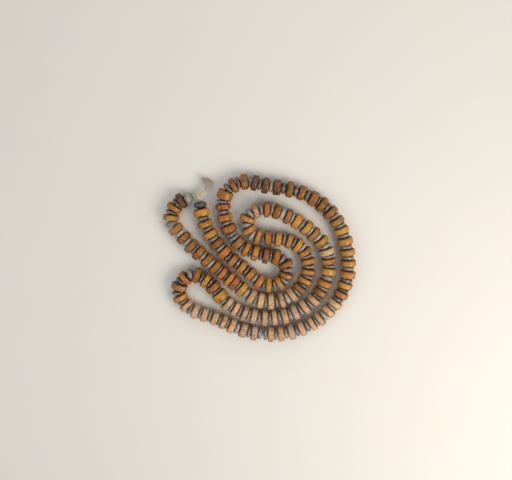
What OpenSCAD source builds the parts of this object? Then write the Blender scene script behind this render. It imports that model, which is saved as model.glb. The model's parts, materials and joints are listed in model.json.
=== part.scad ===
// Mala: a closed strand of bone disc beads and small grey stone spacers on a cotton
// cord, laid flat in folded rows. The discs stand on their rims, so every bore lies
// level. +Z is up, the surface it lies on is z = 0, and the origin is under its middle.

/* [Disc beads] */
// Diameter of a disc bead
disc_d = 9.5; // [8:0.1:12]
// Most that a disc's diameter is over or under that
disc_d_spread = 0.3; // [0:0.1:0.6]
// Hole through a disc bead
disc_bore = 2.6; // [2:0.1:3.5]
// Radius worn onto a disc's rim
disc_rim_r = 1.1; // [0.4:0.1:1.4]
// Thickness of a thin disc
thin_disc_t = 3.3; // [2.7:0.1:4.2]
// Thickness of a plain disc
plain_disc_t = 3.8; // [3:0.1:4.8]
// Thickness of a thick disc
thick_disc_t = 4.3; // [3.4:0.1:5.4]
// Thickness of a wide disc
wide_disc_t = 5.2; // [4:0.1:6.5]

/* [Spacers] */
// Diameter of a spacer
spacer_d = 7.2; // [5.5:0.1:8.6]
// Hole through a spacer
spacer_bore = 3; // [2:0.1:3.6]
// Thickness of a spacer at its edge
spacer_edge_t = 0.9; // [0.6:0.1:1.5]
// Middle thickness of a thin spacer
thin_spacer_t = 1.8; // [1.5:0.1:2.4]
// Middle thickness of a plain spacer
plain_spacer_t = 2.4; // [2:0.1:3]
// Middle thickness of a thick spacer
thick_spacer_t = 3; // [2.4:0.1:3.8]

/* [End beads] */
// Diameter of the light end bead
light_end_d = 7.4; // [6:0.1:9]
// Thickness of the light end bead
light_end_t = 4.4; // [3:0.1:5]
// Diameter of the dark end bead
dark_end_d = 8.2; // [6:0.1:9]
// Thickness of the dark end bead
dark_end_t = 3.7; // [3:0.1:5]
// Thickness of an end bead at its edge
end_edge_t = 1.6; // [1:0.1:2.4]

/* [Cord, knot and tuft] */
// Diameter of the twisted cotton cord
cord_d = 1; // [0.8:0.1:1.4]
// Length of the knot
knot_l = 6.6; // [5:0.1:9]
// Diameter of the knot at its middle
knot_d = 3.4; // [2.6:0.1:4.4]
// Length of the frayed tuft
tuft_l = 6.8; // [4:0.1:10]
// Width of the tuft at its tip
tuft_w = 7; // [4:0.1:9]
// Thickness of the tuft
tuft_t = 2.6; // [1.6:0.1:3.4]

/* [Hidden] */
// The cord's route in plan, from the knot round the strand and back to the knot
ROUTE = [
    [-37.5, 36.3], [-43.3, 34.4], [-49, 29.7], [-51, 22], [-45, 13], [-30.5, -1.5],
    [-15.5, -14.5], [0, -25.5], [12, -25.5], [23, -18.5], [28.5, -7], [26, 3.5],
    [18.5, 9.5], [9, 11.5], [-0.5, 12.5], [-6, 16], [-7.5, 22], [-4, 27], [2.5, 28.5],
    [16, 24.5], [29, 16], [38, 6], [39.5, -11], [31, -26], [15, -35], [-1, -36],
    [-18, -28.5], [-32.5, -13], [-39.5, -10], [-45.5, -13.5], [-48, -20], [-45, -27],
    [-26, -37], [-3, -46], [20, -45], [40, -33], [50.5, -15], [50.5, 5.5],
    [41.5, 25.5], [25, 37.5], [4, 42], [-10.5, 44], [-17.5, 40.5], [-21, 34], [-20.5, 25.5],
    [-10, 6.5], [3, 1.5], [10, 0.5], [15, -3.5], [15.5, -9.5], [12, -14.5], [4.5, -16],
    [-8, -7.5], [-19, 1.5], [-31, 18.5], [-34.5, 33.5]
];
// Puts the middle of the laid strand over the origin
ORIGIN_SHIFT = [-0.2, 1.2];
// Row spacing that the route leaves between two rows of discs, middle to middle
ROUTE_ROW = 9.8;
// The order of the beads: a thin, b plain, c thick and d wide disc; - thin, = plain and
// # thick spacer; A light and Z dark end bead; _ a stretch of bare cord. Each stretch
// has its name, its order, and how far along the cord it ends.
STRETCHES = [
    ["first_run", "Aa-a-a#b=b=b-b=b=b-a-ab-b#b-b-b=a#", 110.5],
    ["middle_fold", "b-a-a-a=a-a-a-a=b-b-a=a=a=a=a-", 202],
    ["inner_arc", "b#a-c=b-a=b=b-a-c#b-b-b=b=b=b=a-", 303.5],
    ["left_loop", "b=b-a=a-a-d-b-a-a#a-b=a-a=", 386],
    ["bottom_row", "b-b=b-a-b#c=b=_=b-b=b=b#a-a#b-b=", 484.5],
    ["top_arc", "b-b=c=b=b=c=b-b=b=b-c#b#b#c=b=a-b=a=d-", 611],
    ["inner_coil", "a=b=c==c-a-b=a-b=a=a-a=a-", 691],
    ["last_run", "b=b=b=b=c=b=b=b=cZ", 753.2]
];
// How far along the cord the first bead starts
FIRST_START = 1.4;
// Bare cord at the one open place in the bottom row
BARE_CORD = 1;
// Least gap left between two beads on the cord
BEAD_GAP = 0.06;
// Length of cord over which a bend is measured
BEND_SPAN = 4;
// Distance from the cord at which two beads meet in a bend
BEND_CONTACT_R = 1.42;
// Bend, in radians a millimetre, at which a spacer has slipped all the way out
FULL_SLIP_BEND = 0.1;
// Stretches whose discs are each a part of their own
SINGLE = ["first_run", "inner_arc", "last_run"];
DISC_KINDS = "abcd";
SPACER_KINDS = "-=#";
// Sides of the cord's tube, and how many steps each span of the route is worked out in
CORD_SIDES = 8;
SPAN_STEPS = 8;
// Middle of a chord of the cord's tube may lie this far off its curve
CORD_SAG = 0.3;
// Clear space kept between the cord and a slipped spacer's hole
CORD_CLEAR = 0.15;
// Width of the flat ring round a spacer's hole
BORE_LIP = 0.3;
// Gap between the cord and the knot
KNOT_GAP = 0.1;
// How far along the knot the tuft leaves it, its clear distance, and which way it leans
TUFT_PLACE = 0.75;
TUFT_CLEAR = 0.6;
TUFT_LEAN = 70;
// A seeded list of numbers from -1 to 1 that sets how each disc's diameter differs
SPREAD = rands(-1, 1, 200, 11);

function has(list, item) = len([for (entry = list) if (entry == item) entry]) > 0;
function total(list, n) = n <= 0 ? 0 : list[n - 1] + total(list, n - 1);
function unit(v) = v / norm(v);
function heading(v) = atan2(v[1], v[0]);

function is_disc(kind) = has(DISC_KINDS, kind);
function is_spacer(kind) = has(SPACER_KINDS, kind);
function thickness(kind) =
    kind == "a" ? thin_disc_t :
    kind == "b" ? plain_disc_t :
    kind == "c" ? thick_disc_t :
    kind == "d" ? wide_disc_t :
    kind == "-" ? thin_spacer_t :
    kind == "=" ? plain_spacer_t :
    kind == "#" ? thick_spacer_t :
    kind == "A" ? light_end_t :
    kind == "Z" ? dark_end_t : BARE_CORD;
function order_t(order) = [for (kind = order) thickness(kind)];
function has_disc(order, i) = is_disc(order[i]) ? 1 : 0;

route = [for (p = ROUTE) p + ORIGIN_SHIFT];
LAST = len(route) - 1;

// At each point the cord runs along the circle through it and its two neighbours
function inner_way(i) =
    let (a = route[i] - route[i - 1], b = route[i + 1] - route[i])
    unit(a / pow(norm(a), 2) + b / pow(norm(b), 2));
function mirrored_way(v, chord) = 2 * chord * (chord * v) - v;
way = [for (i = [0 : LAST])
    i == 0 ? mirrored_way(inner_way(1), unit(route[1] - route[0])) :
    i == LAST ? mirrored_way(inner_way(LAST - 1), unit(route[LAST] - route[LAST - 1])) :
    inner_way(i)];
function turn(i) = acos(min(1, way[i] * way[i + 1]));
function reach(i) = norm(route[i + 1] - route[i]) / pow(cos(turn(i) / 4), 2);
function on_span(i, t) =
    (2 * pow(t, 3) - 3 * pow(t, 2) + 1) * route[i]
    + (pow(t, 3) - 2 * pow(t, 2) + t) * reach(i) * way[i]
    + (3 * pow(t, 2) - 2 * pow(t, 3)) * route[i + 1]
    + (pow(t, 3) - pow(t, 2)) * reach(i) * way[i + 1];

curve = concat(
    [for (i = [0 : LAST - 1], j = [0 : SPAN_STEPS - 1]) on_span(i, j / SPAN_STEPS)],
    [route[LAST]]
);
curve_s = [for (i = 0, s = 0; i < len(curve);
    s = s + (i < len(curve) - 1 ? norm(curve[i + 1] - curve[i]) : 0), i = i + 1) s];
function step_at(s, low = 0, high = len(curve) - 1) =
    high - low < 2 ? low :
    let (mid = floor((low + high) / 2))
    curve_s[mid] <= s ? step_at(s, mid, high) : step_at(s, low, mid);
function point_at(s) =
    let (i = step_at(s), f = (s - curve_s[i]) / (curve_s[i + 1] - curve_s[i]))
    curve[i] + f * (curve[i + 1] - curve[i]);
function way_at(s) = unit(point_at(s + 1) - point_at(s - 1));
// Bend of the cord to the left, in radians a millimetre
function bend_at(s) =
    let (a = way_at(s - BEND_SPAN / 2), b = way_at(s + BEND_SPAN / 2))
    (a[0] * b[1] - a[1] * b[0]) / BEND_SPAN;

// In a bend, beads lean together on the inner side and each takes up more cord
function starts_at(k) = k == 0 ? FIRST_START : STRETCHES[k - 1][2];
function room(k) = STRETCHES[k][2] - starts_at(k);
function bent_t(k) =
    let (
        t = order_t(STRETCHES[k][1]),
        stretched = room(k) / total(t, len(t))
    )
    [for (i = 0, s = starts_at(k); i < len(t); s = s + t[i] * stretched, i = i + 1)
        t[i] * (1 + BEND_CONTACT_R * abs(bend_at(s + t[i] * stretched / 2)))];
function needed(k) =
    let (t = bent_t(k)) total(t, len(t)) + len(t) * BEAD_GAP;

// The laid route grows with the beads: rows stay clear of each other, and each stretch
// of the order still fits its stretch of cord
grow = max(concat(
    [1, disc_d / ROUTE_ROW],
    [for (k = [0 : len(STRETCHES) - 1]) needed(k) / room(k)]
));

// Beads as [kind, distance along the ungrown cord, number of the disc, stretch]
function discs_in(order, n) = total([for (i = [0 : 1 : n - 1]) has_disc(order, i)], n);
function discs_before(k) =
    k == 0 ? 0 : discs_before(k - 1) + discs_in(STRETCHES[k - 1][1], len(STRETCHES[k - 1][1]));
function stretch_beads(k) =
    let (
        order = STRETCHES[k][1],
        t = bent_t(k) / grow,
        slack = (room(k) - total(t, len(t))) / len(t),
        before = discs_before(k)
    )
    [for (i = 0, s = starts_at(k); i < len(t); s = s + t[i] + slack, i = i + 1)
        [order[i], s + (t[i] + slack) / 2, before + discs_in(order, i + 1), k]];
beads = [for (k = [0 : len(STRETCHES) - 1]) each stretch_beads(k)];

function disc_diameter(n) = disc_d + disc_d_spread * SPREAD[n];
cord_z = disc_d / 2;
// In a bend a loose spacer is squeezed outwards until its hole meets the cord
spacer_slip = (spacer_bore - cord_d) / 2 - CORD_SAG - CORD_CLEAR;
function slip_at(s) = -spacer_slip * max(-1, min(1, bend_at(s) / FULL_SLIP_BEND));

/* ---- pieces ---- */

// Half section of a disc: flat faces and a rounded rim
module disc_section(r, t) {
    bore_r = disc_bore / 2;
    translate([bore_r, -t / 2]) square([r - disc_rim_r - bore_r, t]);
    translate([bore_r, disc_rim_r - t / 2]) square([r - bore_r, t - 2 * disc_rim_r]);
    for (side = [-1, 1])
        translate([r - disc_rim_r, side * (t / 2 - disc_rim_r)]) circle(disc_rim_r, $fn = 32);
}

// Half section of a spacer or end bead: two cones back to back with a round edge
module cone_section(r, t, edge_t) {
    bore_r = spacer_bore / 2;
    edge_r = edge_t / 2;
    polygon([
        [bore_r, -t / 2], [bore_r + BORE_LIP, -t / 2], [r - edge_r, -edge_r],
        [r - edge_r, edge_r], [bore_r + BORE_LIP, t / 2], [bore_r, t / 2]
    ]);
    translate([r - edge_r, 0]) circle(edge_r, $fn = 32);
}

// Stands a piece drawn about Z on the cord, its bore along the cord
module on_cord(s, z, slip = 0) {
    p = point_at(s) * grow;
    w = way_at(s);
    translate([p[0] - slip * w[1], p[1] + slip * w[0], z])
        rotate([0, 90, heading(w)]) children();
}

module disc(bead) {
    d = disc_diameter(bead[2]);
    color("peru") on_cord(bead[1], d / 2)
        rotate_extrude($fn = 64) disc_section(d / 2, thickness(bead[0]));
}

module spacer(bead) {
    color("slategray") on_cord(bead[1], cord_z, slip_at(bead[1]))
        rotate_extrude($fn = 48) cone_section(spacer_d / 2, thickness(bead[0]), spacer_edge_t);
}

module end_bead(bead, d) {
    on_cord(bead[1], cord_z)
        rotate_extrude($fn = 48) cone_section(d / 2, thickness(bead[0]), end_edge_t);
}

module light_end_bead() {
    color("lightgray") end_bead(beads[0], light_end_d);
}

module dark_end_bead() {
    color("dimgray") end_bead(beads[len(beads) - 1], dark_end_d);
}

module discs_of(k) {
    for (bead = beads) if (bead[3] == k && is_disc(bead[0])) disc(bead);
}

module spacers_of(k) {
    for (bead = beads) if (bead[3] == k && is_spacer(bead[0])) spacer(bead);
}

// The tube has more rings where the cord bends, so that it stays inside the bores
function rings_in(i) =
    max(1, ceil(sqrt(grow * norm(route[i + 1] - route[i]) * turn(i) * PI / 180 / 8 / CORD_SAG)));
module cord() {
    line = grow * concat(
        [for (i = [0 : LAST - 1], j = [0 : rings_in(i) - 1]) on_span(i, j / rings_in(i))],
        [route[LAST]]
    );
    count = len(line);
    ring_points = [for (i = [0 : count - 1], a = [0 : CORD_SIDES - 1])
        let (
            back = line[max(0, i - 1)],
            ahead = line[min(count - 1, i + 1)],
            w = unit(ahead - back),
            angle = (a + 0.5) * 360 / CORD_SIDES,
            side = cord_d / 2 * cos(angle)
        )
        [line[i][0] - side * w[1], line[i][1] + side * w[0], cord_z + cord_d / 2 * sin(angle)]];
    sides = [for (i = [0 : count - 2], a = [0 : CORD_SIDES - 1])
        let (b = (a + 1) % CORD_SIDES, low = i * CORD_SIDES, high = low + CORD_SIDES)
        [low + a, high + a, high + b, low + b]];
    start = [for (a = [0 : CORD_SIDES - 1]) a];
    end = [for (a = [CORD_SIDES - 1 : -1 : 0]) (count - 1) * CORD_SIDES + a];
    color("wheat") polyhedron(ring_points, concat([start, end], sides), convexity = 10);
}

// The knot lies across the two ends of the cord, its own length along its first run
knot_way = -way[0];
knot_start = grow * route[0] + KNOT_GAP * knot_way;
module at_knot(along) {
    p = knot_start + along * knot_way;
    translate([p[0], p[1], cord_z]) rotate([0, 90, heading(knot_way)]) children();
}

knot_end_r = cord_d * 0.8;
knot_bulge = knot_d / 2 - knot_end_r;
knot_curve_r = (pow(knot_l / 2, 2) + pow(knot_bulge, 2)) / (2 * knot_bulge);
function knot_r(along) =
    knot_d / 2 - knot_curve_r + sqrt(pow(knot_curve_r, 2) - pow(along - knot_l / 2, 2));
module knot() {
    color("wheat") at_knot(knot_l / 2) rotate_extrude($fn = 48) intersection() {
        translate([knot_d / 2 - knot_curve_r, 0]) circle(knot_curve_r, $fn = 96);
        translate([0, -knot_l / 2]) square([knot_d, knot_l]);
    }
}

// The frayed ends leave the knot's side near its far end, and fan out flat
tuft_at = TUFT_PLACE * knot_l;
tuft_out = knot_r(tuft_at) + TUFT_CLEAR;
tuft_root = knot_start + tuft_at * knot_way + tuft_out * [-knot_way[1], knot_way[0]];
module tuft() {
    color("beige") translate([tuft_root[0], tuft_root[1], cord_z])
        rotate([0, 90, TUFT_LEAN]) intersection() {
            cylinder(h = tuft_l, r1 = knot_end_r, r2 = tuft_w / 2, $fn = 48);
            translate([-tuft_t / 2, -tuft_w, -1]) cube([tuft_t, 2 * tuft_w, tuft_l + 2]);
        }
}

function disc_name(n) = str("disc_", n < 10 ? "0" : "", n < 100 ? "0" : "", n);
single_discs = [for (bead = beads)
    if (is_disc(bead[0]) && has(SINGLE, STRETCHES[bead[3]][0])) bead];
grouped = [for (k = [0 : len(STRETCHES) - 1]) if (!has(SINGLE, STRETCHES[k][0])) k];

cord();
knot();
tuft();
light_end_bead();
dark_end_bead();
for (bead = single_discs)
    disc(bead);
for (k = grouped)
    discs_of(k);
for (k = [0 : len(STRETCHES) - 1])
    spacers_of(k);
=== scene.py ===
"""Mala prayer beads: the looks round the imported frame, laid out as an add-on."""

import json
import math
import random
from collections import namedtuple

import bmesh
import bpy
from bpy.props import FloatProperty, FloatVectorProperty, IntProperty, PointerProperty
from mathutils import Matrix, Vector, noise


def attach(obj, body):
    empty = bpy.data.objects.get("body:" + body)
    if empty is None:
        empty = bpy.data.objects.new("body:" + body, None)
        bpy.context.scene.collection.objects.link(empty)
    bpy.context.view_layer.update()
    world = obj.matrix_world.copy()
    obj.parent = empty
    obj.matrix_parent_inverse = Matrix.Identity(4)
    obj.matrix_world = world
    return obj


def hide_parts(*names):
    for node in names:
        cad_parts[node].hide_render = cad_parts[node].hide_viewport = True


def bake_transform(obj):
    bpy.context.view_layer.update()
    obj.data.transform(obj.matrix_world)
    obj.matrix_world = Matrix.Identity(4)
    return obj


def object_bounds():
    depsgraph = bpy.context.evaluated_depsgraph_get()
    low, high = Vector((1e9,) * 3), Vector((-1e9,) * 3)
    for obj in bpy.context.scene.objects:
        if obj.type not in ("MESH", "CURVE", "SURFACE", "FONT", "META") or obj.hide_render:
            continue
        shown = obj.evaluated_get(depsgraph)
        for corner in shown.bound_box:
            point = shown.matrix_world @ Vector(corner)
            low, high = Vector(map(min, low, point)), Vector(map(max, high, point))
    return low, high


bl_info = {
    "name": "Mala Prayer Beads",
    "version": (1, 0, 0),
    "blender": (4, 5, 0),
    "location": "View3D > Sidebar > Mala",
    "description": "A strand of worn bone discs and grey stone spacers on a twisted cotton cord",
    "category": "Add Mesh",
}

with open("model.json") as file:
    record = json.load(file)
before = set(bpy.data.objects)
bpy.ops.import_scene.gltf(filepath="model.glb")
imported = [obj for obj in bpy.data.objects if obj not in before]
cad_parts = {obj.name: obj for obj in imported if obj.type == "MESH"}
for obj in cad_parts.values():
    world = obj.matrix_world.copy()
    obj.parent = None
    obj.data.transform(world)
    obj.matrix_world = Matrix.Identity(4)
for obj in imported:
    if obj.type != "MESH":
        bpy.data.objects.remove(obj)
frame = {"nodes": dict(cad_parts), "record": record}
CAD_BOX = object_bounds()
BODY_OF = {
    node: body
    for body, nodes in frame["record"]["behaviour"]["bodies"].items()
    for node in nodes
}

MM = 0.001
UP = Vector((0, 0, 1))

# ---- the cord's route, as in part.scad, in metres ----

ROUTE = [
    (-0.0375, 0.0363), (-0.0433, 0.0344), (-0.049, 0.0297), (-0.051, 0.022), (-0.045, 0.013),
    (-0.0305, -0.0015), (-0.0155, -0.0145), (0.0, -0.0255), (0.012, -0.0255), (0.023, -0.0185),
    (0.0285, -0.007), (0.026, 0.0035), (0.0185, 0.0095), (0.009, 0.0115), (-0.0005, 0.0125),
    (-0.006, 0.016), (-0.0075, 0.022), (-0.004, 0.027), (0.0025, 0.0285), (0.016, 0.0245),
    (0.029, 0.016), (0.038, 0.006), (0.0395, -0.011), (0.031, -0.026), (0.015, -0.035),
    (-0.001, -0.036), (-0.018, -0.0285), (-0.0325, -0.013), (-0.0395, -0.01), (-0.0455, -0.0135),
    (-0.048, -0.02), (-0.045, -0.027), (-0.026, -0.037), (-0.003, -0.046), (0.02, -0.045),
    (0.04, -0.033), (0.0505, -0.015), (0.0505, 0.0055), (0.0415, 0.0255), (0.025, 0.0375),
    (0.004, 0.042), (-0.0105, 0.044), (-0.0175, 0.0405), (-0.021, 0.034), (-0.0205, 0.0255),
    (-0.01, 0.0065), (0.003, 0.0015), (0.01, 0.0005), (0.015, -0.0035), (0.0155, -0.0095),
    (0.012, -0.0145), (0.0045, -0.016), (-0.008, -0.0075), (-0.019, 0.0015), (-0.031, 0.0185),
    (-0.0345, 0.0335),
]
ORIGIN_SHIFT = Vector((-0.0002, 0.0012, 0))
CORD_HEIGHT = 0.00475
SPAN_STEPS = 24


def unit(v):
    """The vector at length 1."""
    return v / v.length


def cord_ways(points):
    """Which way the cord runs at each point: along the circle through it and its neighbours."""
    chords = [b - a for a, b in zip(points, points[1:])]
    inner = [unit(a / a.length_squared + b / b.length_squared) for a, b in zip(chords, chords[1:])]
    first, last = unit(chords[0]), unit(chords[-1])
    start = 2 * first * first.dot(inner[0]) - inner[0]
    end = 2 * last * last.dot(inner[-1]) - inner[-1]
    return [start, *inner, end]


def smooth_line(points, steps):
    """The smooth curve through the points, as steps short chords to each span."""
    ways = cord_ways(points)
    line = []
    for i in range(len(points) - 1):
        a, b = points[i], points[i + 1]
        reach = (b - a).length / math.cos(ways[i].angle(ways[i + 1]) / 4) ** 2
        for j in range(steps):
            t = j / steps
            line.append(
                (2 * t**3 - 3 * t**2 + 1) * a
                + (t**3 - 2 * t**2 + t) * reach * ways[i]
                + (3 * t**2 - 2 * t**3) * b
                + (t**3 - t**2) * reach * ways[i + 1]
            )
    return [*line, points[-1]]


def lengths_along(line):
    """How far along the line each of its points is."""
    far = [0.0]
    for a, b in zip(line, line[1:]):
        far.append(far[-1] + (b - a).length)
    return far


def spaced(line, step):
    """Points on the line at even distances of about step."""
    far = lengths_along(line)
    count = max(2, round(far[-1] / step))
    out, i = [], 0
    for k in range(count + 1):
        s = min(far[-1], k * far[-1] / count)
        while i < len(line) - 2 and far[i + 1] < s:
            i += 1
        share = (s - far[i]) / max(far[i + 1] - far[i], 1e-9)
        out.append(line[i].lerp(line[i + 1], share))
    return out


CORD_LINE = smooth_line(
    [Vector((x, y, CORD_HEIGHT)) + ORIGIN_SHIFT for x, y in ROUTE], SPAN_STEPS
)
CORD_FAR = lengths_along(CORD_LINE)

# ---- colours ----


def linear(hex_colour):
    """An sRGB hex colour as the linear red, green, blue and alpha that Blender uses."""
    parts = [int(hex_colour[i : i + 2], 16) / 255 for i in (1, 3, 5)]
    return tuple(
        c / 12.92 if c <= 0.04045 else ((c + 0.055) / 1.055) ** 2.4 for c in parts
    ) + (1.0,)


# The tone of each disc from the knot round the strand: o ochre, g golden, b brown,
# d dark brown, t tan, r reddish, p plum brown, k rose. The tan and rose discs, mostly in the
# lower rows, are ochre and reddish discs paled by a painted reflection
DISC_TONES = (
    "dbgobpbbbrorgtttt"
    "tboogogogboogtr"
    "bpggpgtogobttktt"
    "tttttgbgbopot"
    "ttttttkttkttttt"
    "rgoogogpbbbbbdddbbb"
    "rorpoobbbboo"
    "rooprboog"
)
# The tone of each spacer: l light, m mid grey, d dark slate, p plum brown
SPACER_TONES = (
    "ddmllmmlmdmlmmml"
    "mdmmmlmppdlmlmm"
    "llmlllmmmmdmmmmm"
    "mmmmmdddmddmm"
    "mmmmlmmmmlmmmlmd"
    "ddmmmmmmdddddmddddp"
    "pppmddddmmmdd"
    "mdddmmpp"
)
# Discs whose rims were left with coarse saw lines
SAWN_DISCS = (5, 67, 96, 98, 115)
# Discs with a large dark stain or pit on top
STAINED_DISCS = (5, 12)

# ---- settings ----


def colour_setting(name, description, hex_colour):
    """A colour that a user can change."""
    return FloatVectorProperty(
        name=name,
        description=description,
        subtype="COLOR",
        size=3,
        min=0,
        max=1,
        default=linear(hex_colour)[:3],
    )


def size_setting(name, description, default, largest):
    """A length in metres that a user can change."""
    return FloatProperty(
        name=name,
        description=description,
        default=default,
        min=0,
        max=largest,
        precision=5,
        unit="LENGTH",
    )


def power_setting(name, description, default):
    """A lamp's power in watts that a user can change."""
    return FloatProperty(
        name=name, description=description, default=default, min=0, max=50, unit="POWER"
    )


class DiscSettings(bpy.types.PropertyGroup):
    """Sizes and colours of the bone discs"""

    edge_round: size_setting("Rim rounding", "Radius that wear has given the rim", 0.95 * MM, 2 * MM)
    crown: size_setting("Crown", "How much the rim falls away to its sides", 0.08 * MM, 0.6 * MM)
    chip: size_setting("Chip depth", "Deepest chip on the rim's edges", 0.4 * MM, 1 * MM)
    ochre: colour_setting("Ochre", "Most of the discs", "#AA7525")
    golden: colour_setting("Golden", "The yellower discs", "#B3812B")
    brown: colour_setting("Brown", "The handled, darker discs", "#8F5A0E")
    dark: colour_setting("Dark brown", "The darkest discs", "#5B3305")
    # Ochre discs paled by a painted reflection
    tan: colour_setting("Tan", "The palest discs", "#BD9D79")
    reddish: colour_setting("Reddish", "The redder discs", "#A26324")
    plum: colour_setting("Plum brown", "The duller, purplish discs", "#906431")
    # Reddish discs paled by a painted reflection
    reddish_under_painted_reflection: colour_setting("Rose", "The pinker discs", "#BC9E8F")


class SpacerSettings(bpy.types.PropertyGroup):
    """Sizes and colours of the stone spacers"""

    edge_round: size_setting("Edge rounding", "Radius of the worn edge", 0.45 * MM, 1 * MM)
    rough: size_setting("Unevenness", "How deep the hand-shaped faces dip", 0.17 * MM, 0.5 * MM)
    light: colour_setting("Light", "The silvery spacers", "#9A9893")
    middle: colour_setting("Mid grey", "Most of the spacers", "#787672")
    slate: colour_setting("Dark slate", "The darkest spacers", "#42403E")
    plum: colour_setting("Plum brown", "The brownish spacers", "#6A5A58")
    light_end: colour_setting("Light end bead", "The pale stone by the knot", "#84857D")
    dark_end: colour_setting("Dark end bead", "The black stone under the knot", "#302E2D")


class CordSettings(bpy.types.PropertyGroup):
    """Sizes and colours of the cord, its knot and the frayed ends"""

    thick: size_setting("Diameter", "Diameter of the twisted cord", 1 * MM, 2 * MM)
    pitch: size_setting("Twist", "Length of one turn of the two plies", 3 * MM, 10 * MM)
    cotton: colour_setting("Cotton", "Natural cotton, handled", "#D6CFC2")
    frayed: colour_setting("Frayed cotton", "The dusty loose fibres", "#CFC9BC")
    fibres: IntProperty(
        name="Fibres", description="Loose fibres in the tuft", default=650, min=50, max=2000
    )


class StageSettings(bpy.types.PropertyGroup):
    """Floor and light round the strand"""

    floor: colour_setting("Floor", "The pale table top", "#D5DAE0")
    key_power: power_setting("Key light", "Power of the main light", 1.95)
    fill_power: power_setting("Fill light", "Power of the side and back lights", 0.8)


# ---- materials ----

# The Mix node's sockets when it mixes colours
MIX_FACTOR, MIX_A, MIX_B, MIX_RESULT = 0, 6, 7, 2


def node(tree, kind, inputs=None, **settings):
    """Adds a node with its settings. inputs holds a value or a feeding socket for each input."""
    made = tree.nodes.new("ShaderNode" + kind)
    for name, value in settings.items():
        setattr(made, name, value)
    for name, value in (inputs or {}).items():
        if isinstance(value, bpy.types.NodeSocket):
            tree.links.new(value, made.inputs[name])
        else:
            made.inputs[name].default_value = value
    return made


def new_material(name, **constants):
    """A node material with a Principled shader, whose constant sockets are set here."""
    material = bpy.data.materials.new(name)
    material.use_nodes = True
    shader = material.node_tree.nodes["Principled BSDF"]
    for socket, value in constants.items():
        shader.inputs[socket.replace("_", " ")].default_value = value
    return material, material.node_tree, shader


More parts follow.
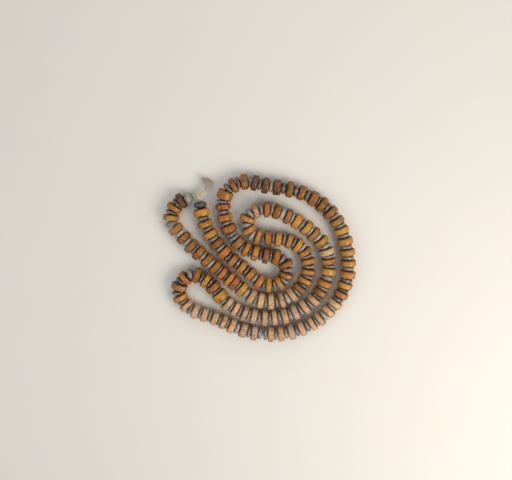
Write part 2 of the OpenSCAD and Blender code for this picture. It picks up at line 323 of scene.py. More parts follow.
def bone_material():
    """Ox bone, sawn, drilled and tumbled: warm and waxy, with stained pores and dark drilled faces."""
    material, tree, shader = new_material("Tumbled ox bone", IOR=1.54)
    place = node(tree, "Attribute", attribute_name="bead_place").outputs["Vector"]
    seed = node(tree, "Attribute", attribute_name="bead_seed").outputs["Fac"]
    tone = node(tree, "Attribute", attribute_name="bead_tone").outputs["Color"]
    side = node(tree, "Attribute", attribute_name="bead_side").outputs["Fac"]
    sawn = node(tree, "Attribute", attribute_name="bead_sawn").outputs["Fac"]
    stain = node(tree, "Attribute", attribute_name="bead_stain").outputs["Fac"]
    # Cloudy staining, in patches of about 2.5 mm
    cloud = node(
        tree, "TexNoise",
        {"Vector": place, "W": seed, "Scale": 1 / (2.5 * MM), "Detail": 4.0, "Roughness": 0.6},
        noise_dimensions="4D",
    ).outputs["Fac"]
    dark_cloud = node(
        tree, "MapRange", {"Value": cloud, "From Min": 0.49, "From Max": 0.7, "To Max": 0.8},
        interpolation_type="SMOOTHSTEP",
    ).outputs["Result"]
    pale_cloud = node(
        tree, "MapRange", {"Value": cloud, "From Min": 0.47, "From Max": 0.28, "To Max": 0.45},
        interpolation_type="SMOOTHSTEP",
    ).outputs["Result"]
    stained = node(
        tree, "Mix", {MIX_FACTOR: dark_cloud, MIX_A: tone, MIX_B: linear("#B58A63")},
        data_type="RGBA", blend_type="MULTIPLY",
    ).outputs[MIX_RESULT]
    rubbed = node(
        tree, "Mix", {MIX_FACTOR: pale_cloud, MIX_A: stained, MIX_B: linear("#CC9238")},
        data_type="RGBA",
    ).outputs[MIX_RESULT]
    # Grain of the bone, in streaks about 0.25 mm wide that run with the hole
    along = node(tree, "Mapping", {"Vector": place, "Scale": (0.14, 1.0, 1.0)}).outputs["Vector"]
    grain = node(
        tree, "TexNoise",
        {"Vector": along, "W": seed, "Scale": 1 / (0.5 * MM), "Detail": 3.0, "Roughness": 0.65},
        noise_dimensions="4D",
    ).outputs["Fac"]
    streak = node(
        tree, "MapRange", {"Value": grain, "From Min": 0.52, "From Max": 0.7, "To Max": 0.5},
        interpolation_type="SMOOTHSTEP",
    ).outputs["Result"]
    grained = node(
        tree, "Mix", {MIX_FACTOR: streak, MIX_A: rubbed, MIX_B: linear("#A67650")},
        data_type="RGBA", blend_type="MULTIPLY",
    ).outputs[MIX_RESULT]
    # Saw lines, about 0.6 mm apart, on the few discs that kept them
    lines = node(
        tree, "TexNoise",
        {"Vector": along, "W": seed, "Scale": 1 / (0.6 * MM), "Detail": 0.0},
        noise_dimensions="4D",
    ).outputs["Fac"]
    line = node(
        tree, "MapRange", {"Value": lines, "From Min": 0.54, "From Max": 0.62, "To Max": 0.5},
        interpolation_type="SMOOTHSTEP",
    ).outputs["Result"]
    cut = node(tree, "Math", {0: line, 1: sawn}, operation="MULTIPLY").outputs[0]
    sawn_bone = node(
        tree, "Mix", {MIX_FACTOR: cut, MIX_A: grained, MIX_B: linear("#96603C")},
        data_type="RGBA", blend_type="MULTIPLY",
    ).outputs[MIX_RESULT]
    # Open pores, 0.2 to 0.4 mm across, that have filled with dirt, in some places only
    cells = node(
        tree, "TexVoronoi", {"Vector": place, "W": seed, "Scale": 1 / (1.1 * MM)},
        voronoi_dimensions="4D",
    ).outputs["Distance"]
    pore = node(
        tree, "MapRange", {"Value": cells, "From Min": 0.24, "From Max": 0.12},
        interpolation_type="SMOOTHSTEP",
    ).outputs["Result"]
    where = node(
        tree, "MapRange", {"Value": cloud, "From Min": 0.44, "From Max": 0.56, "To Max": 0.85}
    ).outputs["Result"]
    pores = node(tree, "Math", {0: pore, 1: where}, operation="MULTIPLY").outputs[0]
    pored = node(
        tree, "Mix", {MIX_FACTOR: pores, MIX_A: sawn_bone, MIX_B: linear("#4A2810")},
        data_type="RGBA",
    ).outputs[MIX_RESULT]
    # Brown blotches where the bone took up grease, ragged at their edges
    blot = node(tree, "Math", {0: stain, 1: cloud}, operation="MULTIPLY").outputs[0]
    blotch = node(
        tree, "MapRange", {"Value": blot, "From Min": 0.16, "From Max": 0.36, "To Max": 0.8},
        interpolation_type="SMOOTHSTEP",
    ).outputs["Result"]
    blotched = node(
        tree, "Mix", {MIX_FACTOR: blotch, MIX_A: pored, MIX_B: linear("#4B260D")},
        data_type="RGBA",
    ).outputs[MIX_RESULT]
    # Darker over the rim's rounded edges, then darkest over the drilled faces, where each disc meets
    # its spacers
    ragged = node(tree, "MapRange", {"Value": grain, "To Min": -0.22, "To Max": 0.22}).outputs["Result"]
    reach = node(tree, "Math", {0: side, 1: ragged}, operation="ADD").outputs[0]
    edge = node(
        tree, "MapRange", {"Value": reach, "From Min": 0.12, "From Max": 0.62, "To Max": 0.62},
        interpolation_type="SMOOTHSTEP",
    ).outputs["Result"]
    edged = node(
        tree, "Mix", {MIX_FACTOR: edge, MIX_A: blotched, MIX_B: linear("#A8703F")},
        data_type="RGBA", blend_type="MULTIPLY",
    ).outputs[MIX_RESULT]
    face = node(
        tree, "MapRange", {"Value": reach, "From Min": 0.6, "From Max": 1.05, "To Max": 0.8},
        interpolation_type="SMOOTHSTEP",
    ).outputs["Result"]
    colour = node(
        tree, "Mix", {MIX_FACTOR: face, MIX_A: edged, MIX_B: linear("#4E2C14")},
        data_type="RGBA",
    ).outputs[MIX_RESULT]
    tree.links.new(colour, shader.inputs["Base Color"])
    gloss = node(
        tree, "MapRange",
        {"Value": cloud, "From Min": 0.3, "From Max": 0.7, "To Min": 0.34, "To Max": 0.54},
    ).outputs["Result"]
    dull = node(tree, "Math", {0: pores, 1: 0.3, 2: gloss}, operation="MULTIPLY_ADD").outputs[0]
    tree.links.new(dull, shader.inputs["Roughness"])
    raised = node(tree, "Math", {0: grain, 1: 0.45, 2: cloud}, operation="MULTIPLY_ADD").outputs[0]
    holed = node(tree, "Math", {0: pores, 1: -0.9, 2: raised}, operation="MULTIPLY_ADD").outputs[0]
    height = node(tree, "Math", {0: cut, 1: -0.8, 2: holed}, operation="MULTIPLY_ADD").outputs[0]
    bump = node(
        tree, "Bump", {"Height": height, "Strength": 0.55, "Distance": 0.16 * MM}
    ).outputs["Normal"]
    tree.links.new(bump, shader.inputs["Normal"])
    return material


def stone_material(name, grit, pale, deep, coarse):
    """Stone shaped by hand and tumbled: dull and mottled, with a rubbed edge and grime by the hole.

    grit is the size of its grains in metres, pale and deep colour its patches, coarse is its bump.
    """
    material, tree, shader = new_material(name, IOR=1.55)
    place = node(tree, "Attribute", attribute_name="bead_place").outputs["Vector"]
    seed = node(tree, "Attribute", attribute_name="bead_seed").outputs["Fac"]
    tone = node(tree, "Attribute", attribute_name="bead_tone").outputs["Color"]
    side = node(tree, "Attribute", attribute_name="bead_side").outputs["Fac"]
    # Pale and deep patches, a few grits across
    patch = node(
        tree, "TexNoise",
        {"Vector": place, "W": seed, "Scale": 1 / (4 * grit), "Detail": 5.0, "Roughness": 0.68},
        noise_dimensions="4D",
    ).outputs["Fac"]
    pale_patch = node(
        tree, "MapRange", {"Value": patch, "From Min": 0.5, "From Max": 0.66, "To Max": 0.75},
        interpolation_type="SMOOTHSTEP",
    ).outputs["Result"]
    deep_patch = node(
        tree, "MapRange", {"Value": patch, "From Min": 0.47, "From Max": 0.34, "To Max": 0.8},
        interpolation_type="SMOOTHSTEP",
    ).outputs["Result"]
    bright = node(
        tree, "Mix", {MIX_FACTOR: pale_patch, MIX_A: tone, MIX_B: linear(pale)}, data_type="RGBA"
    ).outputs[MIX_RESULT]
    patched = node(
        tree, "Mix", {MIX_FACTOR: deep_patch, MIX_A: bright, MIX_B: linear(deep)},
        data_type="RGBA", blend_type="MULTIPLY",
    ).outputs[MIX_RESULT]
    # Single grains of dark mineral
    cells = node(
        tree, "TexVoronoi", {"Vector": place, "W": seed, "Scale": 1 / (2.2 * grit)},
        voronoi_dimensions="4D",
    ).outputs["Distance"]
    speck = node(
        tree, "MapRange", {"Value": cells, "From Min": 0.26, "From Max": 0.14, "To Max": 0.7},
        interpolation_type="SMOOTHSTEP",
    ).outputs["Result"]
    specked = node(
        tree, "Mix", {MIX_FACTOR: speck, MIX_A: patched, MIX_B: linear("#2B2B2A")}, data_type="RGBA"
    ).outputs[MIX_RESULT]
    # The edge is rubbed pale, and the cones darken towards the hole
    rubbed = node(
        tree, "MapRange", {"Value": side, "From Min": 0.3, "From Max": 0.0, "To Max": 0.15},
        interpolation_type="SMOOTHSTEP",
    ).outputs["Result"]
    edged = node(
        tree, "Mix", {MIX_FACTOR: rubbed, MIX_A: specked, MIX_B: linear(pale)}, data_type="RGBA"
    ).outputs[MIX_RESULT]
    grime = node(
        tree, "MapRange", {"Value": side, "From Min": 0.6, "From Max": 1.0, "To Max": 0.25},
        interpolation_type="SMOOTHSTEP",
    ).outputs["Result"]
    colour = node(
        tree, "Mix", {MIX_FACTOR: grime, MIX_A: edged, MIX_B: linear("#3A332E")}, data_type="RGBA"
    ).outputs[MIX_RESULT]
    tree.links.new(colour, shader.inputs["Base Color"])
    gloss = node(
        tree, "MapRange",
        {"Value": patch, "From Min": 0.35, "From Max": 0.65, "To Min": 0.34, "To Max": 0.6},
    ).outputs["Result"]
    tree.links.new(gloss, shader.inputs["Roughness"])
    height = node(tree, "Math", {0: speck, 1: -0.5, 2: patch}, operation="MULTIPLY_ADD").outputs[0]
    bump = node(
        tree, "Bump", {"Height": height, "Strength": 0.8, "Distance": coarse}
    ).outputs["Normal"]
    tree.links.new(bump, shader.inputs["Normal"])
    return material


def cotton_material(name, colour, dust):
    """Undyed cotton yarn, handled for years: matt, soft and fibrous, with dust in patches and painted
    shade in its hollows.
    """
    material, tree, shader = new_material(name, IOR=1.53, Roughness=0.92, Sheen_Weight=0.25)
    place = node(tree, "TexCoord").outputs["Object"]
    tone = node(tree, "Attribute", attribute_name="fibre_tone").outputs["Fac"]
    # Fibres, drawn 0.12 mm apart so that they show; real ones are 0.02 mm
    fibre = node(
        tree, "TexNoise", {"Vector": place, "Scale": 1 / (0.24 * MM), "Detail": 3.0}
    ).outputs["Fac"]
    dirt = node(
        tree, "TexNoise", {"Vector": place, "Scale": 1 / (1.6 * MM), "Detail": 2.0}
    ).outputs["Fac"]
    dusty = node(
        tree, "MapRange", {"Value": dirt, "From Min": 0.45, "From Max": 0.7, "To Max": 0.55}
    ).outputs["Result"]
    soiled = node(
        tree, "Mix", {MIX_FACTOR: dusty, MIX_A: (*colour, 1.0), MIX_B: linear(dust)},
        data_type="RGBA",
    ).outputs[MIX_RESULT]
    shade = node(
        tree, "MapRange", {"Value": fibre, "From Min": 0.35, "From Max": 0.65, "To Max": 0.6}
    ).outputs["Result"]
    crossed = node(
        tree, "Mix", {MIX_FACTOR: shade, MIX_A: soiled, MIX_B: linear("#C9BBA0")},
        data_type="RGBA", blend_type="MULTIPLY",
    ).outputs[MIX_RESULT]
    # Each fibre's random tone and the painted shade in the hollows darken the cotton here
    toned_and_shaded = node(
        tree, "Mix", {MIX_FACTOR: tone, MIX_A: crossed, MIX_B: linear("#6E624C")},
        data_type="RGBA", blend_type="MULTIPLY",
    ).outputs[MIX_RESULT]
    tree.links.new(toned_and_shaded, shader.inputs["Base Color"])
    bump = node(
        tree, "Bump", {"Height": fibre, "Strength": 0.5, "Distance": 0.08 * MM}
    ).outputs["Normal"]
    tree.links.new(bump, shader.inputs["Normal"])
    return material


def floor_material(colour):
    """Matt white-painted board: pale, with the faint unevenness that a roller leaves."""
    material, tree, shader = new_material("Painted board", IOR=1.5, Roughness=0.75)
    place = node(tree, "TexCoord").outputs["Object"]
    rolled = node(
        tree, "TexNoise", {"Vector": place, "Scale": 1 / (30 * MM), "Detail": 3.0}
    ).outputs["Fac"]
    tint = node(
        tree, "Mix", {MIX_FACTOR: rolled, MIX_A: (*colour, 1.0), MIX_B: linear("#D8D8D8")},
        data_type="RGBA",
    ).outputs[MIX_RESULT]
    tree.links.new(tint, shader.inputs["Base Color"])
    return material


# ---- meshes ----


class Build:
    """Gathers one piece's mesh, and the values that its material reads at each point."""

    def __init__(self, **fields):
        self.points, self.faces = [], []
        self.kinds = fields
        self.values = {name: [] for name in fields}

    def add(self, point, **values):
        self.points.append(tuple(point))
        for name, value in values.items():
            self.values[name].append(value)

    def finish(self, name, material):
        mesh = bpy.data.meshes.new(name)
        mesh.from_pydata(self.points, [], self.faces)
        for field, kind in self.kinds.items():
            layer = mesh.attributes.new(field, kind, "POINT")
            key = {"FLOAT": "value", "FLOAT_VECTOR": "vector", "FLOAT_COLOR": "color"}[kind]
            flat = self.values[field]
            if kind != "FLOAT":
                flat = [number for value in flat for number in value]
            layer.data.foreach_set(key, flat)
        mesh.polygons.foreach_set("use_smooth", [True] * len(mesh.polygons))
        mesh.materials.append(material)
        mesh.validate()
        piece = bpy.data.objects.new(name, mesh)
        bpy.context.scene.collection.objects.link(piece)
        return piece


BEAD_FIELDS = {
    "bead_place": "FLOAT_VECTOR",
    "bead_seed": "FLOAT",
    "bead_tone": "FLOAT_COLOR",
    "bead_side": "FLOAT",
    "bead_sawn": "FLOAT",
    "bead_stain": "FLOAT",
}
Bead = namedtuple("Bead", "node far middle axis thick radius bore")
WELD = 1e-6
# How full a stone bead's sides are: 1 is a straight cone and 2 an ellipse
SPACER_FULLNESS = 2.35
# How much of its room along the cord a spacer fills, so that a turning disc clears it
SPACER_SHARE = 0.96
END_FULLNESS = 1.6


def nearest_on_cord(point):
    """How far along the cord a point is, and which way the cord runs there."""
    i = min(range(len(CORD_LINE)), key=lambda k: (CORD_LINE[k].xy - point.xy).length_squared)
    low, high = max(i - 1, 0), min(i + 1, len(CORD_LINE) - 1)
    return CORD_FAR[i], unit(CORD_LINE[high] - CORD_LINE[low])


def islands(name):
    """The separate solids of a CAD node, each as a list of its points."""
    work = bmesh.new()
    work.from_mesh(frame["nodes"][name].data)
    bmesh.ops.remove_doubles(work, verts=work.verts, dist=WELD)
    left, found = set(work.verts), []
    while left:
        reached, edge = set(), [left.pop()]
        while edge:
            vert = edge.pop()
            reached.add(vert)
            for other in (e.other_vert(vert) for e in vert.link_edges):
                if other in left:
                    left.remove(other)
                    edge.append(other)
        found.append([v.co.copy() for v in reached])
    work.free()
    return found


def measure_bead(name, points):
    """A bead's place, axis and sizes, from its solid's points. Its axis lies flat, along the cord."""
    guess = sum(points, Vector()) / len(points)
    far, axis = nearest_on_cord(guess)
    across = UP.cross(axis)
    spans = [[p.dot(way) for p in points] for way in (axis, across, UP)]
    middle = sum(
        (way * (min(s) + max(s)) / 2 for way, s in zip((axis, across, UP), spans)), Vector()
    )
    out = [math.hypot((p - middle).dot(across), (p - middle).dot(UP)) for p in points]
    return Bead(name, far, middle, axis, max(spans[0]) - min(spans[0]), max(out), min(out))


def beads_of(*starts):
    """All beads of the CAD nodes whose names start so, in their order along the cord."""
    found = [
        measure_bead(name, points)
        for name in frame["nodes"]
        if name.startswith(starts)
        for points in islands(name)
    ]
    return sorted(found, key=lambda bead: bead.far)


def disc_outline(bead, edge_round):
    """A disc's outline from its hole over one face, the rim and the other face.

    Each point is its place along the axis, its radius, and 0 on the rim to 1 on a face.
    """
    half, out, hole = bead.thick / 2, bead.radius, bead.bore
    lip = 0.22 * MM
    corner = min(edge_round, half * 0.75)
    flat = out - corner
    near = [
        (-half * 0.4, hole, 1.0),
        (-half + lip, hole, 1.0),
        (-half + lip * 0.3, hole + lip * 0.7, 1.0),
    ]
    near += [(-half, hole + lip + (flat - hole - lip) * k / 3, 1.0) for k in range(4)]
    for k in range(1, 7):
        angle = math.pi / 2 * k / 6
        near.append((
            -half + corner * (1 - math.cos(angle)),
            flat + corner * math.sin(angle),
            1.0 - 0.9 * k / 6,
        ))
    rim = half - corner
    near += [(-rim * 0.6, out, 0.05), (-rim * 0.2, out, 0.0)]
    return near + [(-u, r, side) for u, r, side in reversed(near)]


def stone_outline(bead, edge_round, edge_thick, fullness):
    """A stone bead's outline: two bulging cones back to back, with a rounded edge between."""
    half, out, hole = bead.thick / 2, bead.radius, bead.bore
    lip = 0.3 * MM
    edge = min(edge_round, edge_thick / 2)
    start, end = hole + lip, out - edge * 0.45
    near = [
        (-half * 0.4, hole, 1.0),
        (-half + lip * 0.3, hole, 1.0),
        (-half, hole + lip * 0.5, 1.0),
    ]
    for k in range(8):
        turn = math.pi / 2 * k / 7
        near.append((
            -edge * 0.85 - (half - edge * 0.85) * math.cos(turn) ** (2 / fullness),
            start + (end - start) * math.sin(turn) ** (2 / fullness),
            1.0 - 0.85 * k / 7,
        ))
    near += [(-edge * 0.5, out - edge * 0.13, 0.05), (-edge * 0.17, out, 0.0)]
    return near + [(-u, r, side) for u, r, side in reversed(near)]


def dent(place, centre, size, depth):
    """How deep a smooth dent at centre is at this place."""
    return depth * math.exp(-(place - centre).length_squared / size**2)


def disc_wear(bead, settings, rng, sawn, stained):
    """A function that wears a disc's surface, always inwards, so that the disc still fits."""
    half, out = bead.thick / 2, bead.radius
    lobes = [(n, rng.uniform(0.3, 1) * depth * MM, rng.uniform(0, math.tau))
             for n, depth in ((2, 0.11), (3, 0.07), (5, 0.04))]
    taper = rng.choice((-1, 1)) * rng.uniform(0.01, 0.09) * MM
    wedge, wedge_way = rng.uniform(0.0, 0.035), rng.uniform(0, math.tau)
    seed = Vector([rng.uniform(-50, 50) for _ in range(3)])
    chips = []
    for _ in range(rng.randint(2, 5)):
        turn, side = rng.uniform(0, math.tau), rng.choice((-1, 1))
        centre = Vector((side * half, out * math.cos(turn), out * math.sin(turn)))
        chips.append((centre, rng.uniform(0.35, 1.0) * MM, rng.uniform(0.3, 1) * settings.chip))
    for _ in range(rng.randint(1, 4)):
        turn = rng.uniform(0, math.tau)
        centre = Vector((rng.uniform(-0.6, 0.6) * half, out * math.cos(turn), out * math.sin(turn)))
        chips.append((centre, rng.uniform(0.25, 0.6) * MM, rng.uniform(0.1, 0.28) * MM))
    stains = []
    for turn in [math.pi / 2 + 0.2] * stained + [rng.uniform(0, math.tau) for _ in range(2)]:
        centre = Vector((rng.uniform(-0.5, 0.5) * half, out * math.cos(turn), out * math.sin(turn)))
        stains.append((centre, rng.uniform(0.25, 0.5) * MM * (1 + stained)))

    def worn(u, r, turn):
        share = max(0.0, (r - bead.bore) / (out - bead.bore))
        place = Vector((u, r * math.cos(turn), r * math.sin(turn)))
        inwards = sum(deep * (1 + math.cos(n * turn + shift)) / 2 for n, deep, shift in lobes)
        inwards += abs(taper) + taper * u / half
        inwards += settings.crown * (u / half) ** 2
        inwards += 0.035 * MM * (1 + noise.noise(place / (1.3 * MM) + seed))
        if sawn:
            inwards += 0.05 * MM * (1 + math.sin(26 * turn + 2 * math.sin(3 * turn)))
        r_new = r - share * inwards
        u_new = u * (1 - share * wedge * (1 + math.cos(turn - wedge_way)) / 2)
        u_new *= 1 - 0.008 * (1 + noise.noise(place / (1.6 * MM) - seed))
        for centre, size, depth in chips:
            deep = dent(place, centre, size, depth)
            r_new -= share * deep * 0.7
            u_new -= math.copysign(min(abs(u_new), deep * 0.7 * abs(centre.x) / half), u_new)
        stain = max((dent(place, centre, size, 1) for centre, size in stains), default=0.0)
        return u_new, max(r_new, bead.bore * 0.98), stain

    return worn


def stone_wear(bead, rough, rng):
    """A function that makes a stone bead uneven: soft facets and hollows, always inwards."""
    half, out = bead.thick / 2, bead.radius
    seed = Vector([rng.uniform(-50, 50) for _ in range(3)])
    facets = [(rng.uniform(0, math.tau), rng.uniform(-0.5, 0.5), rng.uniform(0.3, 1)) for _ in range(7)]
    chips = []
    for _ in range(rng.randint(3, 6)):
        turn = rng.uniform(0, math.tau)
        centre = Vector((rng.uniform(-0.3, 0.3) * half, out * math.cos(turn), out * math.sin(turn)))
        chips.append((centre, rng.uniform(0.4, 1.1) * MM, rng.uniform(0.4, 1.3) * rough))

    def worn(u, r, turn):
        share = max(0.0, (r - bead.bore) / (out - bead.bore))
        place = Vector((u, r * math.cos(turn), r * math.sin(turn)))
        inwards = 0.0
        for way, tilt, depth in facets:
            lean = math.cos(turn - way) + tilt * u / half
            inwards += depth * rough * max(0.0, lean - 0.8) * 2.2
        inwards += rough * 0.45 * (1 + noise.noise(place / (1.1 * MM) + seed))
        inwards += rough * 0.2 * (1 + noise.noise(place / (0.5 * MM) - seed))
        inwards += sum(dent(place, centre, size, depth) for centre, size, depth in chips)
        squeeze = 1 - share * 0.06 * (1 + noise.noise(place / (1.8 * MM) - seed)) / 2
        return u * squeeze, max(r - share * inwards, bead.bore * 0.98), 0.0

    return worn


def turn_bead(build, bead, outline, worn, segments, tone, seed, sawn=0.0):
    """Turns an outline round the bead's axis, wears it and adds it, closed through its hole."""
    across = UP.cross(bead.axis)
    first, rows = len(build.points), len(outline)
    for k in range(segments):
        turn = math.tau * k / segments
        for u, r, side in outline:
            u_new, r_new, stain = worn(u, r, turn)
            y, z = r_new * math.cos(turn), r_new * math.sin(turn)
            build.add(
                bead.middle + bead.axis * u_new + across * y + UP * z,
                bead_place=(u_new, y, z),
                bead_seed=seed,
                bead_tone=tone,
                bead_side=side,
                bead_sawn=sawn,
                bead_stain=stain,
            )
    for k in range(segments):
        low, high = first + k * rows, first + (k + 1) % segments * rows
        for j in range(rows):
            nxt = (j + 1) % rows
            build.faces.append((low + j, high + j, high + nxt, low + nxt))


def varied(colour, rng, amount):
    """The colour made a little lighter or darker and warmer or cooler."""
    light, warm = 1 + rng.uniform(-amount, amount), rng.uniform(-amount, amount) * 0.4
    return (colour[0] * light * (1 + warm), colour[1] * light, colour[2] * light * (1 - warm), 1.0)


# ---- yarn ----


def tube(build, line, radius, sides, tone, core=None, reach=1.0):
    """A closed round tube along a line of points. radius gives its radius at a share of its length.

    Where a core line is given, the tube is darker within reach of it: painted shade in the hollows
    between plies and strands.
    """
    first, last = len(build.points), len(line) - 1
    for i, place in enumerate(line):
        ahead = unit(line[min(i + 1, last)] - line[max(i - 1, 0)])
        lean = UP if abs(ahead.z) < 0.95 else Vector((1, 0, 0))
        side = unit(lean.cross(ahead))
        top = ahead.cross(side)
        r = radius(i / last)
        for k in range(sides):
            turn = math.tau * k / sides
            point = place + side * r * math.cos(turn) + top * r * math.sin(turn)
            # Painted shade: the nearer the point lies to the core line, the darker it is
            deep = max(0.0, 1 - (point - core[i]).length / reach) if core else 0.0
            build.add(point, fibre_tone=min(1.0, tone + 1.6 * deep))
    for i in range(last):
        low, high = first + i * sides, first + (i + 1) * sides
        for k in range(sides):
            nxt = (k + 1) % sides
            build.faces.append((low + k, low + nxt, high + nxt, high + k))
    build.faces.append(tuple(first + k for k in reversed(range(sides))))
    build.faces.append(tuple(first + last * sides + k for k in range(sides)))


def twisted(build, line, thick, pitch, sides=8, tone=0.0, core=None, reach=None):
    """Two plies twisted round each other along the line, together as thick as the cord."""
    ply, off = thick * 0.27, thick * 0.23
    far, last = lengths_along(line), len(line) - 1
    for ply_turn in (0, math.pi):
        route = []
        for i, place in enumerate(line):
            ahead = unit(line[min(i + 1, last)] - line[max(i - 1, 0)])
            side = unit(UP.cross(ahead))
            top = ahead.cross(side)
            turn = ply_turn + math.tau * far[i] / pitch
            route.append(place + side * off * math.cos(turn) + top * off * math.sin(turn))
        # Each ply gets painted shade on its side that faces the cord's middle line
        tube(build, route, lambda share: ply, sides, tone, core or line, reach or thick * 0.5)


# ---- operators ----

DISC_SEGMENTS = 76
SPACER_SEGMENTS = 56
RANDOM_START = 108


class MALA_OT_discs(bpy.types.Operator):
    """Adds the worn bone discs"""

    bl_idname = "mala.discs"
    bl_label = "Bone Discs"

    def execute(self, context):
        settings = context.scene.mala_discs
        tones = {
            "o": settings.ochre, "g": settings.golden, "b": settings.brown, "d": settings.dark,
            "t": settings.tan, "r": settings.reddish, "p": settings.plum, "k": settings.reddish_under_painted_reflection,
        }
        beads = beads_of("disc")
        if len(beads) != len(DISC_TONES):
            raise RuntimeError(f"{len(beads)} discs, and {len(DISC_TONES)} tones for them")
        material = bone_material()
        builds = {}
        for number, (bead, letter) in enumerate(zip(beads, DISC_TONES), 1):
            rng = random.Random(RANDOM_START * 1000 + number)
            sawn = number in SAWN_DISCS
            build = builds.setdefault(bead.node, Build(**BEAD_FIELDS))
            turn_bead(
                build, bead, disc_outline(bead, settings.edge_round),
                disc_wear(bead, settings, rng, sawn, number in STAINED_DISCS), DISC_SEGMENTS,
                varied(tones[letter], rng, 0.13), rng.uniform(0, 90), float(sawn),
            )
        for name, build in builds.items():
            piece = build.finish("bone_" + name, material)
            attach(piece, BODY_OF[name])
            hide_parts(name)
        return {"FINISHED"}


class MALA_OT_spacers(bpy.types.Operator):
    """Adds the stone spacers between the discs"""

    bl_idname = "mala.spacers"
    bl_label = "Stone Spacers"

    def execute(self, context):
        settings = context.scene.mala_spacers
        tones = {"l": settings.light, "m": settings.middle, "d": settings.slate, "p": settings.plum}
        beads = beads_of("spacers")
        if len(beads) != len(SPACER_TONES):
            raise RuntimeError(f"{len(beads)} spacers, and {len(SPACER_TONES)} tones for them")
        material = stone_material("Tumbled soapstone", 0.3 * MM, "#BDBBB6", "#77736E", 0.2 * MM)
        builds = {}
        for number, (bead, letter) in enumerate(zip(beads, SPACER_TONES), 1):
            bead = bead._replace(thick=bead.thick * SPACER_SHARE)
            rng = random.Random(RANDOM_START * 2000 + number)
            build = builds.setdefault(bead.node, Build(**BEAD_FIELDS))
            turn_bead(
                build, bead, stone_outline(bead, settings.edge_round, 0.9 * MM, SPACER_FULLNESS),
                stone_wear(bead, settings.rough, rng), SPACER_SEGMENTS,
                varied(tones[letter], rng, 0.22), rng.uniform(0, 90),
            )
        for name, build in builds.items():
            piece = build.finish("stone_" + name, material)
            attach(piece, BODY_OF[name])
            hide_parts(name)
        return {"FINISHED"}


class MALA_OT_end_beads(bpy.types.Operator):
    """Adds the light and the dark stone bead at the two ends of the cord"""

    bl_idname = "mala.end_beads"
    bl_label = "End Beads"

    def execute(self, context):
        settings = context.scene.mala_spacers
        light = stone_material("Tumbled pale granite", 0.26 * MM, "#C3C5BD", "#8B8B84", 0.34 * MM)
        dark = stone_material("Hewn black slate", 0.34 * MM, "#85827F", "#5A5552", 0.4 * MM)
        rows = (
            ("light_end_bead", light, settings.light_end, "light_stone", 1),
            ("dark_end_bead", dark, settings.dark_end, "dark_stone", 2),
        )
        for name, material, tone, slot, number in rows:
            rng = random.Random(RANDOM_START * 3000 + number)
            bead = beads_of(name)[0]
            build = Build(**BEAD_FIELDS)
            turn_bead(
                build, bead, stone_outline(bead, 0.8 * MM, 1.6 * MM, END_FULLNESS),
                stone_wear(bead, settings.rough * 2, rng), SPACER_SEGMENTS,
                (*tone, 1.0), rng.uniform(0, 90),
            )
            piece = build.finish("stone_" + name, material)
            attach(piece, BODY_OF[name])
            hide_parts(name)
        return {"FINISHED"}


class MALA_OT_cord(bpy.types.Operator):
    """Adds the twisted cotton cord through every bead"""

    bl_idname = "mala.cord"
    bl_label = "Cotton Cord"

    def execute(self, context):
        settings = context.scene.mala_cord
        line = spaced(CORD_LINE, settings.pitch / 10)
        build = Build(fibre_tone="FLOAT")
        twisted(build, line, settings.thick, settings.pitch)
        cord = build.finish(
            "cotton_cord", cotton_material("Twisted cotton", settings.cotton, "#A3947A")
        )
        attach(cord, BODY_OF["cord"])
        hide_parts("cord")
        return {"FINISHED"}


# The knot's place in the frame: where the cord enters it, its lowest turn, and its top
KNOT_ENTRY = Vector((-0.0382, 0.0374, CORD_HEIGHT))
KNOT_LOW = Vector((-0.0352, 0.0361, CORD_HEIGHT))
KNOT_TOP = Vector((-0.0318, 0.0398, CORD_HEIGHT))
# Its laid strands: points along each, turns from foot to top, and thickness in cords
KNOT_STEPS = 60
KNOT_TURNS = 1.5
KNOT_STRAND = 1.45


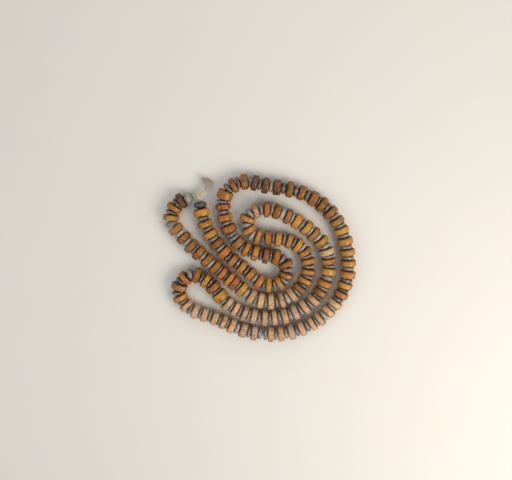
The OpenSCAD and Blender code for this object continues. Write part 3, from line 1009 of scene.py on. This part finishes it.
class MALA_OT_knot(bpy.types.Operator):
    """Adds the knot, where the two ends of the cord are laid round each other"""

    bl_idname = "mala.knot"
    bl_label = "Knot"

    def execute(self, context):
        settings = context.scene.mala_cord
        thick = settings.thick
        build = Build(fibre_tone="FLOAT")
        # The first run comes in from the light bead as two cords twisted together
        entry = [KNOT_ENTRY, KNOT_ENTRY.lerp(KNOT_LOW, 0.5) + Vector((0, -0.0003, 0)), KNOT_LOW]
        for start in (0, math.pi):
            route = []
            smooth = spaced(smooth_line(entry, 12), 0.25 * MM)
            for i, place in enumerate(smooth):
                turn = start + math.tau * i / len(smooth) * 1.2
                across = Vector((0.35, 0.94, 0))
                route.append(place + (across * math.cos(turn) + UP * math.sin(turn)) * thick * 0.6)
            # Painted shade darkens these plies towards the run's middle line
            twisted(build, route, thick * 1.3, settings.pitch * 0.75, core=smooth, reach=thick * 1.2)
        # Three strands are laid round each other up to where the ends fray
        along, across = unit(KNOT_TOP - KNOT_LOW), unit(UP.cross(KNOT_TOP - KNOT_LOW))
        length = (KNOT_TOP - KNOT_LOW).length + 1.2 * MM
        core = [
            KNOT_LOW + along * (i / KNOT_STEPS * length - 0.8 * MM) for i in range(KNOT_STEPS + 1)
        ]
        for strand in range(3):
            route = []
            for i, place in enumerate(core):
                share = i / KNOT_STEPS
                turn = math.tau * (share * KNOT_TURNS + strand / 3)
                out = thick * (0.7 + 0.5 * math.sin(math.pi * share) ** 0.7)
                route.append(place + across * math.sin(turn) * out + UP * math.cos(turn) * out * 0.9)
            # Painted shade darkens the strands towards the knot's core
            twisted(
                build, route, thick * KNOT_STRAND, settings.pitch * 0.8,
                core=core, reach=thick * 1.3,
            )
        # Two strands go down from the knot's foot to the dark bead
        mouth = CORD_LINE[-1]
        for side in (-1, 1):
            route = smooth_line(
                [
                    KNOT_LOW + Vector((side * 0.5, 0.3, 0.5)) * MM,
                    mouth + Vector((side * 0.75, 0.6, 0.2)) * MM,
                    Vector((mouth.x + side * 0.35 * MM, mouth.y - 1.6 * MM, mouth.z)),
                ],
                10,
            )
            twisted(build, spaced(route, 0.25 * MM), thick, settings.pitch * 0.75, tone=0.05)
        # The top is bound with two close turns before the fibres fan out
        top = KNOT_TOP - along * 0.2 * MM
        for ring in range(2):
            middle = top + along * ring * thick * 0.55
            route = [
                middle + (across * math.cos(a) + UP * math.sin(a) * 0.8) * thick * 0.95
                for a in (math.tau * k / 28 for k in range(27))
            ]
            tube(build, route, lambda share: thick * 0.3, 8, 0.15)
        knot = build.finish(
            "cotton_knot", cotton_material("Laid cotton", settings.cotton, "#A09482")
        )
        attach(knot, BODY_OF["knot"])
        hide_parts("knot")
        return {"FINISHED"}


# The tuft, in degrees: the way its roots point, and the middle and half-width of its fan
TUFT_LEAN = 70
TUFT_MIDDLE, TUFT_SPREAD = 75, 46
# In millimetres: a fibre's length before it is varied, how far its tip droops, and the radii
# of the small clumps that fibres are drawn as
FIBRE_LENGTH = 6.9
TIP_DROOP = 1.7
CLUMP_RADII = (0.05, 0.06, 0.08, 0.11)


class MALA_OT_tuft(bpy.types.Operator):
    """Adds the frayed ends of the cord above the knot"""

    bl_idname = "mala.tuft"
    bl_label = "Frayed Tuft"

    def execute(self, context):
        settings = context.scene.mala_cord
        rng = random.Random(RANDOM_START * 4000)
        build = Build(fibre_tone="FLOAT")
        lean = math.radians(TUFT_LEAN)
        straight = Vector((math.cos(lean), math.sin(lean), 0))
        across = UP.cross(straight)
        root = KNOT_TOP + straight * 0.2 * MM
        for _ in range(settings.fibres):
            fan = rng.triangular(-1, 1, 0.2)
            heading = math.radians(TUFT_MIDDLE - TUFT_SPREAD * fan + rng.gauss(0, 3))
            long = (FIBRE_LENGTH + 0.9 * rng.random() - 1.1 * max(0, fan)) * MM
            way = Vector((math.cos(heading), math.sin(heading), 0))
            rise = rng.gauss(0, 0.45) * MM
            begin = root - across * fan * 0.95 * MM + UP * rng.uniform(-0.5, 0.5) * MM
            middle = begin + straight * long * 0.36 + way * long * 0.05 + UP * (rise * 0.4 - 0.4 * MM)
            bow = across * rng.gauss(0, 0.25) * MM
            end = begin + straight * long * 0.3 + way * long * 0.72
            end += UP * (rise - TIP_DROOP * MM)
            end += bow
            route = spaced(smooth_line([begin, middle, end], 6), long / 9)
            clump = rng.choice(CLUMP_RADII) * MM
            tube(build, route, lambda share: clump * (1 - 0.55 * share), 5, rng.uniform(0, 0.22))
        tuft = build.finish(
            "frayed_tuft", cotton_material("Frayed cotton", settings.frayed, "#B5AE9F")
        )
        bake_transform(tuft)
        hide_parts("tuft")
        return {"FINISHED"}


# What the camera looks at, from how far, its tilt, and its lens and sensor in millimetres
CAMERA_TARGET = Vector((-0.0025, 0.0119, CORD_HEIGHT))
CAMERA_DISTANCE = 0.2888
CAMERA_TILT = math.radians(9.94)
CAMERA_LENS, CAMERA_SENSOR = 35.0, 36.0


def area_light(name, place, size, power, colour):
    """A square soft light that faces the middle of the strand."""
    lamp = bpy.data.lights.new(name, "AREA")
    lamp.size, lamp.energy, lamp.color = size, power, linear(colour)[:3]
    light = bpy.data.objects.new(name, lamp)
    light.location = place
    light.rotation_euler = (-Vector(place)).to_track_quat("-Z", "Y").to_euler()
    bpy.context.scene.collection.objects.link(light)


class MALA_OT_stage(bpy.types.Operator):
    """Adds the floor, the soft lights and the camera"""

    bl_idname = "mala.stage"
    bl_label = "Stage"

    def execute(self, context):
        settings, scene = context.scene.mala_stage, context.scene
        size, depth = 3.0, 0.0001
        mesh = bpy.data.meshes.new("floor")
        corners = [(x * size, y * size, CAD_BOX[0].z - depth)
                   for x, y in ((-1, -1), (1, -1), (1, 1), (-1, 1))]
        mesh.from_pydata(corners, [], [(0, 1, 2, 3)])
        mesh.materials.append(floor_material(settings.floor))
        floor = bpy.data.objects.new("floor", mesh)
        scene.collection.objects.link(floor)

        camera = bpy.data.objects.new("camera", bpy.data.cameras.new("camera"))
        camera.data.lens, camera.data.sensor_width = CAMERA_LENS, CAMERA_SENSOR
        camera.data.clip_start = 0.01
        back = Vector((0, math.sin(CAMERA_TILT), math.cos(CAMERA_TILT)))
        camera.location = CAMERA_TARGET + back * CAMERA_DISTANCE
        camera.rotation_euler = (-CAMERA_TILT, 0, 0)
        scene.collection.objects.link(camera)
        scene.camera = camera

        area_light("key", (0.31, -0.17, 0.35), 0.3, settings.key_power, "#FFF1DC")
        area_light("fill", (-0.36, -0.1, 0.42), 0.5, settings.fill_power, "#FFF8F0")
        area_light("back", (0.1, 0.45, 0.34), 0.4, settings.fill_power, "#FFF4E4")

        world = bpy.data.worlds.new("soft_room")
        world.use_nodes = True
        backdrop = world.node_tree.nodes["Background"]
        backdrop.inputs["Color"].default_value = linear("#E9E5DE")
        backdrop.inputs["Strength"].default_value = 0.5
        scene.world = world
        scene.view_settings.view_transform = "Standard"
        return {"FINISHED"}


OPERATORS = (
    MALA_OT_stage,
    MALA_OT_cord,
    MALA_OT_discs,
    MALA_OT_spacers,
    MALA_OT_end_beads,
    MALA_OT_knot,
    MALA_OT_tuft,
)
SETTINGS = {
    "mala_stage": StageSettings,
    "mala_cord": CordSettings,
    "mala_discs": DiscSettings,
    "mala_spacers": SpacerSettings,
}


class MALA_PT_strand(bpy.types.Panel):
    """Lists the pieces of the strand and their settings"""

    bl_idname = "MALA_PT_strand"
    bl_label = "Mala Prayer Beads"
    bl_space_type = "VIEW_3D"
    bl_region_type = "UI"
    bl_category = "Mala"

    def draw(self, context):
        for operator in OPERATORS:
            self.layout.operator(operator.bl_idname)
        for name, group in SETTINGS.items():
            box = self.layout.box()
            for setting in group.__annotations__:
                box.prop(getattr(context.scene, name), setting)


CLASSES = (*SETTINGS.values(), *OPERATORS, MALA_PT_strand)


def register():
    for cls in CLASSES:
        bpy.utils.register_class(cls)
    for name, group in SETTINGS.items():
        setattr(bpy.types.Scene, name, PointerProperty(type=group))


def unregister():
    for name in SETTINGS:
        delattr(bpy.types.Scene, name)
    for cls in reversed(CLASSES):
        bpy.utils.unregister_class(cls)


def main():
    register()
    bpy.ops.mala.stage()
    bpy.ops.mala.cord()
    bpy.ops.mala.discs()
    bpy.ops.mala.spacers()
    bpy.ops.mala.end_beads()
    bpy.ops.mala.knot()
    bpy.ops.mala.tuft()


if __name__ == "__main__":
    main()
